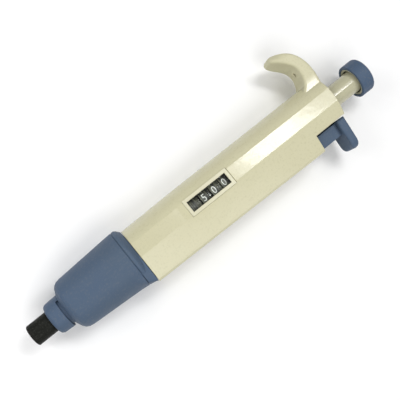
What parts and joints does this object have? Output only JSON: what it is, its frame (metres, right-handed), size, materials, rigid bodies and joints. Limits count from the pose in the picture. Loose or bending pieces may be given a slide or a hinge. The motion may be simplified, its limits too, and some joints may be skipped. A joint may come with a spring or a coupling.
{
  "type": "adjustable pipette",
  "caption": "Hand-held adjustable air-displacement pipette with a turning push button, counter window, finger hook and thumb-worked tip ejector.",
  "frame": {"origin": "centre of the nozzle's open end, on the plunger axis", "axes": "+X along the plunger axis from the nozzle to the push button, +Y towards the finger hook, +Z out of the display window's side"},
  "size_m": [0.241, 0.0721, 0.0354],
  "materials": {
    "cream_plastic": "semi-gloss moulded",
    "beige_plastic": "satin",
    "blue_plastic": "fine satin moulded",
    "black_plastic": "satin",
    "clear_window": "clear polished",
    "wheel_black": "satin",
    "grey_plastic": "satin",
    "white_plastic": "satin",
    "steel": "ground",
    "brass": "turned",
    "rubber": "matt",
    "filter_felt": "felt"
  },
  "bodies": {
    "grip": {"handle_shell": "cream_plastic", "window_bezel": "cream_plastic", "window_lens": "clear_window", "counter_frame": "grey_plastic", "counter_axle_tube": "steel", "counter_layshaft": "steel", "spring_seat": "grey_plastic", "main_spring": "steel", "blowout_spring": "steel", "blowout_ring": "steel", "top_guide_bush": "white_plastic", "cylinder_adapter": "grey_plastic", "cylinder_nut": "grey_plastic", "cylinder": "white_plastic", "nozzle_cone": "black_plastic", "cone_filter": "filter_felt", "nozzle_o_ring": "rubber", "ejector_spring": "steel"},
    "plunger": {"piston_head": "white_plastic", "piston_seal": "white_plastic", "piston_o_ring": "rubber", "piston_rod": "steel", "stop_collar": "steel", "spindle": "steel"},
    "knob": {"button_cap": "blue_plastic", "button_core_ring": "beige_plastic", "button_stem": "cream_plastic", "drive_sleeve": "steel"},
    "ejector": {"ejector_lever": "blue_plastic", "ejector_rod": "steel", "ejector_flange_ring": "blue_plastic", "ejector_collar": "blue_plastic"},
    "thousands": {"thousands_wheel": "wheel_black"},
    "ones": {"ones_wheel": "wheel_black"},
    "tenths": {"tenths_wheel": "wheel_black"},
    "hundredths": {"hundredths_wheel": "wheel_black"},
    "pinion_1": {"carry_pinion_1": "white_plastic"},
    "pinion_2": {"carry_pinion_2": "white_plastic"},
    "pinion_3": {"carry_pinion_3": "white_plastic"},
    "screw": {"lead_screw": "brass"},
    "stop_nut": {"volume_stop_nut": "brass"}
  },
  "joints": [
    {"name": "plunger_slide", "type": "slide", "parent": "grip", "child": "plunger", "axis": [-1, 0, 0], "range_m": [0, 0.0135], "stiffness_N_per_m": 220, "springref_m": -0.006, "deforming": ["main_spring"]},
    {"name": "knob_turn", "type": "hinge", "parent": "plunger", "child": "knob", "pos_m": [0.235, 0, 0], "axis": [1, 0, 0], "range_deg": [0, 2880]},
    {"name": "ejector_slide", "type": "slide", "parent": "grip", "child": "ejector", "axis": [-1, 0, 0], "range_m": [0, 0.007], "stiffness_N_per_m": 400, "springref_m": -0.004, "deforming": ["ejector_spring"]},
    {"name": "hundredths_turn", "type": "hinge", "parent": "grip", "child": "hundredths", "pos_m": [0.12, 0, 0], "axis": [1, 0, 0], "range_deg": [-28.8, 2908.8]},
    {"name": "tenths_turn", "type": "hinge", "parent": "grip", "child": "tenths", "pos_m": [0.12, 0, 0], "axis": [1, 0, 0], "range_deg": [-14.4, 1454.4]},
    {"name": "ones_turn", "type": "hinge", "parent": "grip", "child": "ones", "pos_m": [0.12, 0, 0], "axis": [1, 0, 0], "range_deg": [-1.44, 145.44]},
    {"name": "thousands_turn", "type": "hinge", "parent": "grip", "child": "thousands", "pos_m": [0.12, 0, 0], "axis": [1, 0, 0], "range_deg": [-1, 15.4]},
    {"name": "carry_pinion_3_turn", "type": "hinge", "parent": "grip", "child": "pinion_3", "pos_m": [0.12, 0.00995, 0], "axis": [1, 0, 0], "range_deg": [-5090.4, 50.4]},
    {"name": "carry_pinion_2_turn", "type": "hinge", "parent": "grip", "child": "pinion_2", "pos_m": [0.12, 0.00995, 0], "axis": [1, 0, 0], "range_deg": [-509.04, 5.04]},
    {"name": "carry_pinion_1_turn", "type": "hinge", "parent": "grip", "child": "pinion_1", "pos_m": [0.12, 0.00995, 0], "axis": [1, 0, 0], "range_deg": [-51.4, 1]},
    {"name": "lead_screw_turn", "type": "hinge", "parent": "grip", "child": "screw", "pos_m": [0.095, 0, 0], "axis": [1, 0, 0], "range_deg": [-28.8, 2908.8]},
    {"name": "stop_nut_slide", "type": "slide", "parent": "grip", "child": "stop_nut", "axis": [-1, 0, 0], "range_m": [-0.0002, 0.0091]}
  ],
  "couplings": [
    {"joint": "hundredths_turn", "follows": "knob_turn", "ratio": 1},
    {"joint": "tenths_turn", "follows": "knob_turn", "ratio": 0.5},
    {"joint": "ones_turn", "follows": "knob_turn", "ratio": 0.05},
    {"joint": "thousands_turn", "follows": "knob_turn", "ratio": 0.005},
    {"joint": "carry_pinion_3_turn", "follows": "knob_turn", "ratio": -1.75},
    {"joint": "carry_pinion_2_turn", "follows": "knob_turn", "ratio": -0.175},
    {"joint": "carry_pinion_1_turn", "follows": "knob_turn", "ratio": -0.0175},
    {"joint": "lead_screw_turn", "follows": "knob_turn", "ratio": 1},
    {"joint": "stop_nut_slide", "follows": "knob_turn", "m_per_rad": 0.00017587}
  ]
}
